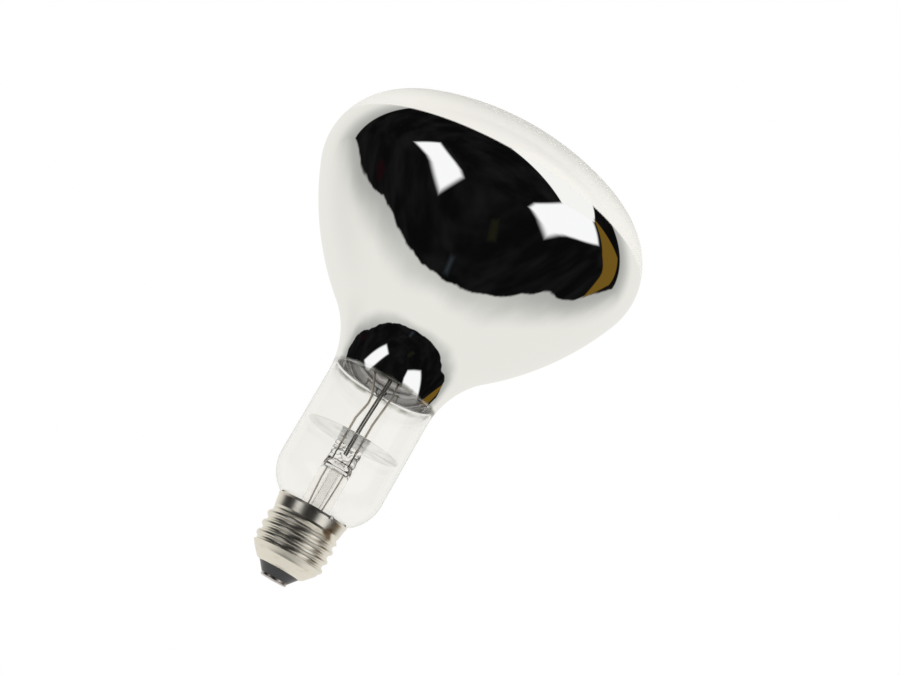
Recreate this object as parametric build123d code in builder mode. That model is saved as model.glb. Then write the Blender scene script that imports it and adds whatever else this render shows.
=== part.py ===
from build123d import *
import os
from math import acos, asin, ceil, cos, degrees, pi, radians, sin, sqrt

# Infrared heat bulb: a blown reflector bulb on a screw cap, in millimetres.
# The axis is +Z with the cap down. The origin is the centre of the centre contact's lower face.

os.makedirs("parts", exist_ok=True)

# Blown glass bulb
glass_wall = 1.0
neck_radius = 19.8
neck_start = 40.0
neck_taper_radius = 15.0
seal_radius = 10.9
seal_height = 17.6
seal_bend_radius = 1.5
throat_radius = 34.0
cone_radius = 112.0
cone_end_slope = 22.5
shoulder_radius = 23.5
widest_radius = 63.0
widest_height = 147.8
dome_radius = 102.0

# Mirror coating inside the bulb, drawn far thicker than the real film
mirror_thickness = 0.2
mirror_above_throat = 4.3
mirror_past_widest = 5.0

# Screw cap with a rolled knuckle thread
shell_wall = 0.3
shell_bottom = 4.1
shell_top = 27.1
lip_radius = 7.6
lip_bend_radius = 8.9
lip_bend_height = 4.7
shoulder_bend_radius = 11.6
shoulder_bend_height = 7.6
shoulder_top = 8.3
band_rise = 0.8
band_start_radius = 12.45
band_flare_radius = 13.0
rim_radius = 13.3
rim_flare_height = 0.8
thread_pitch = 3.629
thread_crest_radius = 13.2
thread_root_radius = 12.12
thread_crest_height = 17.45
thread_fade = 1.7
thread_end = 21.9
thread_margin = 0.06

# Black glass insulator and centre contact
insulator_top = 6.4
insulator_bore_radius = 1.7
insulator_foot_step = 0.05
contact_radius = 4.85
contact_height = 1.0
contact_wall = 0.4
contact_hole_radius = 1.2
solder_dish = 0.06
solder_height = 1.7
solder_grip = 0.8

# Weld of the side lead in a notch of the rim
weld_azimuth = -60.0
weld_width = 1.6
weld_depth = 1.1
weld_stand_up = 0.4
weld_stand_out = 0.4
weld_chamfer = 0.25
weld_past_lead = 0.45

# Cement ring between the glass and the cap
cement_above_seal = 1.9
cement_below_weld = 0.7
cement_gap = 0.05

# Stem: flare tube, press and exhaust tube
tube_radius = 5.4
tube_wall = 1.0
tube_top = 43.5
flare_height = 8.6
flare_rim_height = 1.3
press_shoulder = 4.0
press_height = 5.1
press_width = 11.2
press_thickness = 3.8
press_corner = 1.2
press_edge_round = 0.5
exhaust_radius = 2.0
exhaust_wall = 0.6
exhaust_below_seal = 4.4
exhaust_tip_length = 3.0
exhaust_tip_radius = 0.8
blow_hole_radius = 1.0
blow_hole_rise = 2.0

# Wires
outer_lead_radius = 0.3
seal_wire_radius = 0.25
inner_lead_radius = 0.42
support_radius = 0.37
support_gap = 0.1
left_lead_x = -3.3
right_lead_x = 3.1
outer_lead_grip = 1.5
inner_lead_grip = 2.0
support_grip = 3.6
lead_clearance = 0.3
lead_straight = 5.0
lead_lean = 10.5
lead_spread = 0.3
lead_above_insulator = 2.2
side_lead_below_seal = 2.4
side_lead_climb = 0.6
weld_lead_rise = 2.3
weld_lead_end = 1.1
wire_bend = 2.5
sharp_bend = 1.2

# Bends of the inner wires: how far each lies from the wire's foot, and its share of the way
# from the press up to the filament
left_lead_bends = [(0, 0.21), (1.3, 0.35), (1.1, 0.42)]
right_lead_bends = [(0, 0.22), (1.3, 0.49), (0.7, 0.61)]
support_bends = [(0, 0.16), (0.8, 0.55), (0.8, 0.66)]
lead_upright = 9.0
support_upright = 7.5

# Heat shield disc
shield_clearance = 1.2
shield_above_press = 1.9
shield_thickness = 0.4
shield_hole_radius = 1.3
shield_slit = 0.5

# Filament, drawn as the outer form of its fine coil
filament_height = 99.0
filament_reach = 9.5
filament_front = 8.0
filament_hook_x = 4.0
coil_radius = 0.85
coil_clearance = 0.16
hook_turn = 270.0
clamp_length = 2.2
clamp_wall = 0.4


def inset_path(points, distance):
    """Offset an open run of points to its left, with mitred corners."""
    normals = []
    for (x0, y0), (x1, y1) in zip(points, points[1:]):
        length = sqrt((x1 - x0) ** 2 + (y1 - y0) ** 2)
        normals.append((-(y1 - y0) / length, (x1 - x0) / length))
    before = [normals[0]] + normals
    after = normals + [normals[-1]]
    moved = []
    for (x, y), (ax, ay), (bx, by) in zip(points, before, after):
        stretch = distance / (1 + ax * bx + ay * by)
        moved.append((x + (ax + bx) * stretch, y + (ay + by) * stretch))
    return moved


def radius_at(points, height):
    """Radius of a rising run of points at a height."""
    for (r0, z0), (r1, z1) in zip(points, points[1:]):
        if z0 <= height <= z1:
            return r0 + (r1 - r0) * (height - z0) / (z1 - z0)
    raise ValueError("the run does not reach that height")


# Centres of the bulb's arcs. Every arc meets the next one at a common tangent.
taper_centre = (neck_radius - neck_taper_radius, neck_start)
seal_reach = seal_radius + seal_bend_radius - taper_centre[0]
seal_slope = acos(seal_reach / (neck_taper_radius + seal_bend_radius))
seal_bend_height = neck_start - (neck_taper_radius + seal_bend_radius) * sin(seal_slope)
seal_centre = (seal_radius + seal_bend_radius, seal_bend_height)
shoulder_centre = (widest_radius - shoulder_radius, widest_height)
end_slope = radians(cone_end_slope)
cone_centre = (
    shoulder_centre[0] - (cone_radius - shoulder_radius) * cos(end_slope),
    shoulder_centre[1] + (cone_radius - shoulder_radius) * sin(end_slope),
)
throat_slope = acos((neck_radius + throat_radius - cone_centre[0]) / (cone_radius + throat_radius))
throat_height = cone_centre[1] - (cone_radius + throat_radius) * sin(throat_slope)
throat_centre = (neck_radius + throat_radius, throat_height)
dome_angle = acos(shoulder_centre[0] / (dome_radius - shoulder_radius))
dome_centre = (0, widest_height - (dome_radius - shoulder_radius) * sin(dome_angle))


def bulb_arc(centre, radius, start, end):
    """One arc of the bulb's outline, between two directions in radians."""
    CenterArc(centre, radius, degrees(start), degrees(end - start))


def bulb_outline(inset):
    """The bulb's half outline from the seal to the top, inset from the outer face."""
    Line((seal_radius - inset, seal_height), (seal_radius - inset, seal_bend_height))
    bulb_arc(seal_centre, seal_bend_radius + inset, pi, pi - seal_slope)
    bulb_arc(taper_centre, neck_taper_radius - inset, -seal_slope, 0)
    Line((neck_radius - inset, neck_start), (neck_radius - inset, throat_height))
    bulb_arc(throat_centre, throat_radius + inset, pi, pi - throat_slope)
    bulb_arc(cone_centre, cone_radius - inset, -throat_slope, -end_slope)
    bulb_arc(shoulder_centre, shoulder_radius - inset, -end_slope, dome_angle)
    bulb_arc(dome_centre, dome_radius - inset, dome_angle, pi / 2)


def bulb_layer(near, far, low, high):
    """Layer of the bulb between two insets of its outline, and between two heights."""
    dome_top = dome_centre[1] + dome_radius
    with BuildPart() as layer:
        with BuildSketch(Plane.XZ):
            with BuildLine():
                bulb_outline(near)
                bulb_outline(far)
                Line((seal_radius - far, seal_height), (seal_radius - near, seal_height))
                Line((0, dome_top - far), (0, dome_top - near))
            make_face()
            with Locations((widest_radius / 2, (low + high) / 2)):
                Rectangle(widest_radius, high - low, mode=Mode.INTERSECT)
        revolve(axis=Axis.Z)
    return layer


glass_envelope = bulb_layer(0, glass_wall, seal_height, dome_centre[1] + dome_radius)
mirror_coating = bulb_layer(
    glass_wall,
    glass_wall + mirror_thickness,
    throat_height + mirror_above_throat,
    widest_height + mirror_past_widest,
)


# Half outline of the cap's shell, from the lip to the rim. Between the shoulder and the band it
# only limits the thread, so that the crests fade out at both ends.
crest_limit = thread_crest_radius + thread_margin
shoulder_top_radius = thread_root_radius - thread_margin
band_start = thread_end + band_rise
shell_outer = [
    (lip_radius, shell_bottom),
    (lip_bend_radius, lip_bend_height),
    (shoulder_bend_radius, shoulder_bend_height),
    (shoulder_top_radius, shoulder_top),
    (crest_limit, shoulder_top + thread_fade),
    (crest_limit, thread_end - thread_fade),
    (shoulder_top_radius, thread_end),
    (band_start_radius, band_start),
    (band_flare_radius, shell_top - rim_flare_height),
    (rim_radius, shell_top),
]
shell_inner = inset_path(shell_outer, shell_wall)


# The crests and roots of the thread are equal arcs that meet at a common tangent.
thread_depth = thread_crest_radius - thread_root_radius
thread_round = ((thread_pitch / 2) ** 2 + thread_depth**2) / (4 * thread_depth)
thread_slope = degrees(asin(thread_pitch / 4 / thread_round))
thread_bore = thread_root_radius / 2


def half_turn(inset):
    """Half a turn of the threaded body: its upright section, swept up a right-hand helix."""
    crest_centre = thread_crest_radius - thread_round
    root_centre = thread_root_radius + thread_round
    root_arc = thread_round + inset
    turns_below = ceil((thread_crest_height - shoulder_top) / thread_pitch) + 1
    turns_above = ceil((thread_end - thread_crest_height) / thread_pitch) + 1
    low = thread_crest_height - (turns_below + 0.5) * thread_pitch
    high = low + (turns_below + turns_above) * thread_pitch
    with BuildPart() as half:
        with BuildLine() as rise:
            Helix(thread_pitch, thread_pitch / 2, thread_crest_radius)
        with BuildSketch(Plane.XZ):
            with BuildLine():
                CenterArc((root_centre, low), root_arc, 180, -thread_slope)
                for turn in range(turns_below + turns_above):
                    crest = low + (turn + 0.5) * thread_pitch
                    CenterArc((crest_centre, crest), thread_round - inset, -thread_slope, 2 * thread_slope)
                for turn in range(1, turns_below + turns_above):
                    root = low + turn * thread_pitch
                    CenterArc((root_centre, root), root_arc, 180 - thread_slope, 2 * thread_slope)
                CenterArc((root_centre, high), root_arc, 180, thread_slope)
                Polyline(
                    (root_centre - root_arc, low),
                    (thread_bore, low),
                    (thread_bore, high),
                    (root_centre - root_arc, high),
                )
            make_face()
        sweep(path=rise.line, is_frenet=True)
    return half.part


def threaded_core(limits, inset):
    """Solid body inside one face of the shell: the thread's turns, trimmed by the outline."""
    half = half_turn(inset)
    low = limits[0][1]
    high = limits[-1][1]
    with BuildPart() as core:
        add(half)
        with Locations(Location((0, 0, thread_pitch / 2), (0, 0, 180))):
            add(half)
        for radius, bottom, top in (
            ((thread_bore + thread_root_radius) / 2, low, high),
            (rim_radius, low, shoulder_top),
            (rim_radius, thread_end, high),
        ):
            with BuildSketch(Plane.XY.offset(bottom)):
                Circle(radius)
            extrude(amount=top - bottom)
        with BuildSketch(Plane.XZ):
            with BuildLine():
                Polyline((0, low), *limits, (0, high), close=True)
            make_face()
        revolve(axis=Axis.Z, mode=Mode.INTERSECT)
    return core.part


weld_direction = (cos(radians(weld_azimuth)), sin(radians(weld_azimuth)), 0)
weld_plane = Plane(
    origin=(0, 0, 0),
    x_dir=weld_direction,
    z_dir=(weld_direction[1], -weld_direction[0], 0),
)
channel_radius = (seal_radius + thread_root_radius - shell_wall) / 2
weld_inner = channel_radius + weld_past_lead
weld_outer = rim_radius + weld_stand_out
weld_top_inner = rim_radius - shell_wall + weld_chamfer / 2
weld_low = shell_top - weld_depth
weld_high = shell_top + weld_stand_up

with BuildPart() as side_weld:
    with BuildSketch(weld_plane):
        with BuildLine():
            Polyline(
                (weld_inner, weld_low),
                (weld_outer - weld_chamfer, weld_low),
                (weld_outer, weld_low + weld_chamfer),
                (weld_outer, weld_high - weld_chamfer),
                (weld_outer - weld_chamfer, weld_high),
                (weld_top_inner, weld_high),
                (weld_inner, weld_low + weld_chamfer),
                close=True,
            )
        make_face()
    extrude(amount=weld_width / 2, both=True)

shell_opening = [(shell_inner[0][0], shell_bottom)] + shell_inner
shell_mouth = shell_opening[:-1] + [(shell_inner[-1][0], shell_top)]

with BuildPart() as screw_shell:
    add(threaded_core(shell_outer, 0))
    add(threaded_core(shell_mouth, shell_wall), mode=Mode.SUBTRACT)
    add(side_weld.part, mode=Mode.SUBTRACT)

with BuildPart() as cap_insulator:
    with BuildSketch(Plane.XZ):
        with BuildLine():
            Polyline(
                (insulator_bore_radius, contact_wall),
                (contact_radius - contact_wall, contact_wall),
                (contact_radius - contact_wall, contact_height),
                (contact_radius + insulator_foot_step, contact_height),
                (shell_inner[0][0], shell_bottom),
                shell_inner[0],
                shell_inner[1],
                (radius_at(shell_inner, insulator_top), insulator_top),
                (insulator_bore_radius, insulator_top),
                close=True,
            )
        make_face()
    revolve(axis=Axis.Z)

with BuildPart() as centre_contact:
    with BuildSketch(Plane.XZ):
        with BuildLine():
            Polyline(
                (contact_radius - contact_wall, 0),
                (contact_hole_radius, 0),
                (contact_hole_radius, contact_wall),
                (contact_radius - contact_wall, contact_wall),
                (contact_radius - contact_wall, contact_height),
                (contact_radius, contact_height),
                (contact_radius, contact_wall),
            )
            CenterArc((contact_radius - contact_wall, contact_wall), contact_wall, -90, 90)
        make_face()
    revolve(axis=Axis.Z)

with BuildPart() as contact_solder:
    with BuildSketch(Plane.XZ):
        with BuildLine():
            Polyline(
                (0, solder_dish),
                (contact_hole_radius, solder_dish),
                (contact_hole_radius, contact_wall),
                (insulator_bore_radius, contact_wall),
                (insulator_bore_radius, solder_grip),
                (outer_lead_radius, solder_height),
                (outer_lead_radius, solder_grip),
                (0, solder_grip),
                close=True,
            )
        make_face()
    revolve(axis=Axis.Z)


# Heights along the stem and the places of its wires
press_start = tube_top + press_shoulder
press_top = press_start + press_height
seal_wire_low = tube_top + outer_lead_grip
seal_wire_high = press_top - inner_lead_grip
support_foot = press_top - support_grip
lead_run_x = exhaust_radius + outer_lead_radius + lead_clearance
exhaust_tip = seal_height - exhaust_below_seal
side_lead_low = seal_height - side_lead_below_seal


def wire(points, bends, radius):
    """Round wire along straight runs joined by bends."""
    with BuildPart() as piece:
        with BuildLine() as route:
            FilletPolyline(*points, radius=bends)
        with BuildSketch(Plane(origin=route.line @ 0, z_dir=route.line % 0)):
            Circle(radius)
        sweep(path=route.line)
    return piece


def bend_points(foot_x, bends):
    """Places of an inner wire's bends."""
    rise = filament_height - press_top
    return [(foot_x + offset, 0, press_top + share * rise) for offset, share in bends]


def beside_weld(radius, height):
    """Point on the weld's side of the axis."""
    return (radius * weld_direction[0], radius * weld_direction[1], height)


outer_lead_centre = wire(
    [
        (left_lead_x, 0, seal_wire_low),
        (left_lead_x, 0, tube_top - lead_straight),
        (-lead_run_x, 0, tube_top - lead_straight - lead_lean),
        (-lead_run_x - lead_spread, 0, exhaust_tip),
        (0, 0, insulator_top + lead_above_insulator),
        (0, 0, solder_grip),
    ],
    wire_bend,
    outer_lead_radius,
)

outer_lead_side = wire(
    [
        (right_lead_x, 0, seal_wire_low),
        (right_lead_x, 0, tube_top - lead_straight),
        (lead_run_x, 0, tube_top - lead_straight - lead_lean),
        (lead_run_x + lead_spread, 0, side_lead_low),
        beside_weld(channel_radius, side_lead_low + side_lead_climb),
        beside_weld(channel_radius, weld_low - weld_lead_rise),
        beside_weld(weld_inner + outer_lead_radius, weld_low - weld_lead_end),
        beside_weld(weld_inner + outer_lead_radius, weld_low),
    ],
    [wire_bend, wire_bend, sharp_bend, sharp_bend, sharp_bend / 2, sharp_bend / 2],
    outer_lead_radius,
)

seal_wires = {}
for side, lead_x in (("left", left_lead_x), ("right", right_lead_x)):
    with BuildPart() as seal_wire:
        with BuildSketch(Plane.XY.offset(seal_wire_low)):
            with Locations((lead_x, 0)):
                Circle(seal_wire_radius)
        extrude(amount=seal_wire_high - seal_wire_low)
    seal_wires[side] = seal_wire

clamp_radius = coil_radius + clamp_wall
span_rise = sqrt((filament_reach - filament_hook_x) ** 2 + filament_front**2)
span_direction = ((filament_reach - filament_hook_x) / span_rise, -filament_front / span_rise)


def inner_lead(side, lead_x, bends):
    """Inner lead from the press, with its end formed into a clamp round the filament."""
    clamp_x = side * filament_reach
    clamp_foot = filament_height - (coil_radius + clamp_radius) / 2
    points = [
        (lead_x, 0, seal_wire_high),
        *bend_points(lead_x, bends),
        (clamp_x, 0, filament_height - lead_upright),
        (clamp_x, 0, clamp_foot),
    ]
    clamp_plane = Plane(
        origin=(clamp_x, 0, filament_height),
        z_dir=(-side * span_direction[0], span_direction[1], 0),
    )
    with BuildPart() as lead:
        add(wire(points, wire_bend, inner_lead_radius).part)
        with BuildSketch(clamp_plane):
            Circle(clamp_radius)
        extrude(amount=clamp_length / 2, both=True)
        with BuildSketch(clamp_plane):
            Circle(coil_radius)
        extrude(amount=clamp_length, both=True, mode=Mode.SUBTRACT)
    return lead


inner_lead_left = inner_lead(-1, left_lead_x, left_lead_bends)
inner_lead_right = inner_lead(1, right_lead_x, right_lead_bends)

support_foot_x = support_radius + support_gap / 2
hook_radius = coil_radius + coil_clearance + support_radius


def support_wire(side):
    """Support wire from the press, with its end bent over the filament and back below it."""
    foot_x = side * support_foot_x
    outward = Vector(-side * span_direction[1], -1 - span_direction[0], 0).normalized()
    hook_centre = Vector(side * filament_hook_x, -filament_front, filament_height)
    hook_start = hook_centre - outward * hook_radius
    points = [
        (foot_x, 0, support_foot),
        *bend_points(foot_x, support_bends),
        (hook_start.X, hook_start.Y, filament_height - support_upright),
        hook_start,
    ]
    with BuildPart() as support:
        with BuildLine() as route:
            FilletPolyline(*points, radius=wire_bend)
            with BuildLine(Plane(origin=hook_centre, x_dir=outward, z_dir=outward.cross(Vector(0, 0, 1)))):
                CenterArc((0, 0), hook_radius, 180, -hook_turn)
        with BuildSketch(Plane.XY.offset(support_foot)):
            with Locations((foot_x, 0)):
                Circle(support_radius)
        sweep(path=route.line)
    return support


support_wire_left = support_wire(-1)
support_wire_right = support_wire(1)

tail_x = filament_reach + span_direction[0] * clamp_length / 2
tail_y = -span_direction[1] * clamp_length / 2
with BuildPart() as filament:
    with BuildLine() as coil_route:
        Polyline(
            (-tail_x, tail_y, filament_height),
            (-filament_hook_x, -filament_front, filament_height),
            (filament_hook_x, -filament_front, filament_height),
            (tail_x, tail_y, filament_height),
        )
    with BuildSketch(Plane(origin=coil_route.line @ 0, z_dir=coil_route.line % 0)):
        Circle(coil_radius)
    sweep(path=coil_route.line, transition=Transition.RIGHT)

with BuildPart() as exhaust_tube:
    with BuildSketch(Plane.XZ):
        with BuildLine():
            Polyline(
                (0, exhaust_tip),
                (exhaust_tip_radius, exhaust_tip),
                (exhaust_radius, exhaust_tip + exhaust_tip_length),
                (exhaust_radius, tube_top),
                (exhaust_radius - exhaust_wall, tube_top),
                (exhaust_radius - exhaust_wall, exhaust_tip + exhaust_tip_length),
                (0, exhaust_tip + exhaust_tip_length / 2),
                close=True,
            )
        make_face()
    revolve(axis=Axis.Z)

# The flare's rim is fused to the inside of the bulb's neck.
flare_rim_radius = seal_radius - glass_wall
flare_reach = flare_rim_radius - tube_radius
flare_rim_top = seal_height + flare_rim_height
flare_start = flare_rim_top + flare_height
flare_bend = (flare_reach**2 + flare_height**2) / (2 * flare_reach)
flare_centre = (tube_radius + flare_bend, flare_start)
flare_outer_angle = asin(flare_height / flare_bend)
flare_inner_bend = flare_bend + tube_wall
flare_inner_angle = acos((flare_centre[0] - flare_rim_radius) / flare_inner_bend)
flare_rim_low = flare_start - flare_inner_bend * sin(flare_inner_angle)

with BuildPart() as glass_stem:
    with BuildSketch(Plane.XZ):
        with BuildLine():
            CenterArc(flare_centre, flare_bend, 180, degrees(flare_outer_angle))
            CenterArc(flare_centre, flare_inner_bend, 180, degrees(flare_inner_angle))
            Line((flare_rim_radius, flare_rim_low), (flare_rim_radius, flare_rim_top))
            Polyline(
                (tube_radius, flare_start),
                (tube_radius, tube_top),
                (tube_radius - tube_wall, tube_top),
                (tube_radius - tube_wall, flare_start),
            )
        make_face()
    revolve(axis=Axis.Z)
    with BuildSketch(Plane.XY.offset(tube_top)):
        Circle(tube_radius)
    with BuildSketch(Plane.XY.offset(press_start)):
        RectangleRounded(press_width, press_thickness, press_corner)
    loft()
    with BuildSketch(Plane.XY.offset(press_start)):
        RectangleRounded(press_width, press_thickness, press_corner)
    extrude(amount=press_top - press_start)
    fillet(faces().sort_by(Axis.Z)[-1].edges(), press_edge_round)
    for lead_x in (left_lead_x, right_lead_x):
        for low, high, radius in (
            (tube_top, seal_wire_low, outer_lead_radius),
            (seal_wire_low, seal_wire_high, seal_wire_radius),
            (seal_wire_high, press_top, inner_lead_radius),
        ):
            with BuildSketch(Plane.XY.offset(low)):
                with Locations((lead_x, 0)):
                    Circle(radius)
            extrude(amount=high - low, mode=Mode.SUBTRACT)
    with BuildSketch(Plane.XY.offset(support_foot)):
        with Locations((-support_foot_x, 0), (support_foot_x, 0)):
            Circle(support_radius)
    extrude(amount=press_top - support_foot, mode=Mode.SUBTRACT)
    with BuildSketch(Plane.XY.offset(tube_top)):
        Circle(blow_hole_radius)
    extrude(amount=blow_hole_rise, mode=Mode.SUBTRACT)
    with BuildSketch(Plane.XZ):
        with Locations((0, tube_top + blow_hole_rise)):
            Circle(blow_hole_radius)
    extrude(amount=tube_radius, mode=Mode.SUBTRACT)

shield_radius = neck_radius - glass_wall - shield_clearance
with BuildPart() as heat_shield:
    with BuildSketch(Plane.XY.offset(press_top + shield_above_press)):
        Circle(shield_radius)
        with Locations((left_lead_x, 0), (right_lead_x, 0)):
            Circle(shield_hole_radius, mode=Mode.SUBTRACT)
        with Locations(((right_lead_x + shield_radius) / 2, 0)):
            Rectangle(shield_radius - right_lead_x, shield_slit, mode=Mode.SUBTRACT)
    extrude(amount=shield_thickness)
    add(support_wire_left.part, mode=Mode.SUBTRACT)
    add(support_wire_right.part, mode=Mode.SUBTRACT)

cement_radius = shoulder_top_radius - shell_wall - cement_gap
cement_bottom = seal_height + cement_above_seal
cement_top = weld_low - cement_below_weld
with BuildPart() as basing_cement:
    with BuildSketch(Plane.XZ):
        with BuildLine():
            Polyline(
                (seal_radius, cement_bottom),
                (cement_radius, cement_bottom),
                (cement_radius, thread_end),
                (radius_at(shell_inner, band_start + shell_wall), band_start + shell_wall),
                (radius_at(shell_inner, cement_top), cement_top),
                (seal_radius, cement_top),
                close=True,
            )
        make_face()
    revolve(axis=Axis.Z)
    add(outer_lead_side.part, mode=Mode.SUBTRACT)

pieces = {
    "glass_envelope": glass_envelope,
    "mirror_coating": mirror_coating,
    "glass_stem": glass_stem,
    "exhaust_tube": exhaust_tube,
    "heat_shield": heat_shield,
    "filament": filament,
    "support_wire_left": support_wire_left,
    "support_wire_right": support_wire_right,
    "inner_lead_left": inner_lead_left,
    "inner_lead_right": inner_lead_right,
    "seal_wire_left": seal_wires["left"],
    "seal_wire_right": seal_wires["right"],
    "outer_lead_centre": outer_lead_centre,
    "outer_lead_side": outer_lead_side,
    "screw_shell": screw_shell,
    "basing_cement": basing_cement,
    "side_weld": side_weld,
    "cap_insulator": cap_insulator,
    "centre_contact": centre_contact,
    "contact_solder": contact_solder,
}
for name, piece in pieces.items():
    piece.part.label = name
    export_step(piece.part, f"parts/{name}.step")
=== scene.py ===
"""Looks of an infrared heat bulb: blown glass with a mirrored cone, on a rolled screw cap.

Lengths are metres in the part's own frame. +Z runs from the cap to the front, the photo looks along +Y.
"""

import logging
import math
from dataclasses import dataclass, field
from typing import Any, Sequence, Union

import bmesh
import bpy
from mathutils import Matrix, Vector, noise


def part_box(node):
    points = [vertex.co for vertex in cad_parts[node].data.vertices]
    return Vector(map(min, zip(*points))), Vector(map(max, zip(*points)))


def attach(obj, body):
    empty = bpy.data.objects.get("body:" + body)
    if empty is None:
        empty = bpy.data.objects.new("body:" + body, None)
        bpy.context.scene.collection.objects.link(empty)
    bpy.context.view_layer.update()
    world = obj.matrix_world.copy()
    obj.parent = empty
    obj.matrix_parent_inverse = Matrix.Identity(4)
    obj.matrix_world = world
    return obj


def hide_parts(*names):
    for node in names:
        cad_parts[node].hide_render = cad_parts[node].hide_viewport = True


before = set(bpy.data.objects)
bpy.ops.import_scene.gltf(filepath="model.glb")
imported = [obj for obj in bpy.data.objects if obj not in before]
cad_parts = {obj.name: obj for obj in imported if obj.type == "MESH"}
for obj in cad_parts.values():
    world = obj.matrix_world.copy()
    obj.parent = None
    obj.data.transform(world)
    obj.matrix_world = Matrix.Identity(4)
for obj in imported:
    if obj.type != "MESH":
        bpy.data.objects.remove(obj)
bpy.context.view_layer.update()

log = logging.getLogger("heat_bulb")

Colour = tuple[float, float, float]
Place = tuple[float, float, float]
Span = tuple[float, float]
Outline = list[tuple[float, float]]
Ring = list[bmesh.types.BMVert]
Operand = Union["Signal", float]
Paint = Union["Signal", Colour]

MM = 0.001
BODY = "root"


class Signal:
    """An output socket that takes part in Python arithmetic, each operation adding one Math node."""

    def __init__(self, board: "Board", socket: bpy.types.NodeSocket) -> None:
        """Wrap a socket.

        Args:
            board: The node tree that the socket belongs to.
            socket: The output socket.
        """
        self.board = board
        self.socket = socket

    def __add__(self, other: Operand) -> "Signal":
        """Sum."""
        return self.board.maths("ADD", self, other)

    def __radd__(self, other: float) -> "Signal":
        """Sum with a number on the left."""
        return self.board.maths("ADD", other, self)

    def __sub__(self, other: Operand) -> "Signal":
        """Difference."""
        return self.board.maths("SUBTRACT", self, other)

    def __rsub__(self, other: float) -> "Signal":
        """Difference with a number on the left, as in 1 - mask."""
        return self.board.maths("SUBTRACT", other, self)

    def __mul__(self, other: Operand) -> "Signal":
        """Product."""
        return self.board.maths("MULTIPLY", self, other)

    def __rmul__(self, other: float) -> "Signal":
        """Product with a number on the left."""
        return self.board.maths("MULTIPLY", other, self)

    def __truediv__(self, other: Operand) -> "Signal":
        """Quotient."""
        return self.board.maths("DIVIDE", self, other)

    def __rtruediv__(self, other: float) -> "Signal":
        """Quotient with a number on the left."""
        return self.board.maths("DIVIDE", other, self)

    def __neg__(self) -> "Signal":
        """The opposite."""
        return 0.0 - self

    def __abs__(self) -> "Signal":
        """Size without its sign."""
        return self.board.out("ShaderNodeMath", 0, {"operation": "ABSOLUTE"}, {0: self})

    def least(self, other: Operand) -> "Signal":
        """The smaller of the two."""
        return self.board.maths("MINIMUM", self, other)

    def above(self, other: Operand) -> "Signal":
        """1 where this is above the other, else 0."""
        return self.board.maths("GREATER_THAN", self, other)

    def hump(self) -> "Signal":
        """1 where this is a half, falling to 0 where it is 0 or 1."""
        return self * (1.0 - self) * 4.0

    def step(self, low: float, high: float) -> "Signal":
        """Smooth step.

        Args:
            low: Where it is still 0.
            high: Where it is 1.

        Returns:
            The step.
        """
        inputs = {"Value": self, "From Min": low, "From Max": high}
        made = self.board.node("ShaderNodeMapRange", {"interpolation_type": "SMOOTHSTEP"}, inputs)
        return Signal(self.board, made.outputs["Result"])


@dataclass(frozen=True)
class Grain:
    """A noise pattern: patches to the metre, detail, stretch and the span it is stepped over."""

    scale: float
    detail: float = 2.0
    stretch: Place | None = None
    span: Span | None = None


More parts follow.
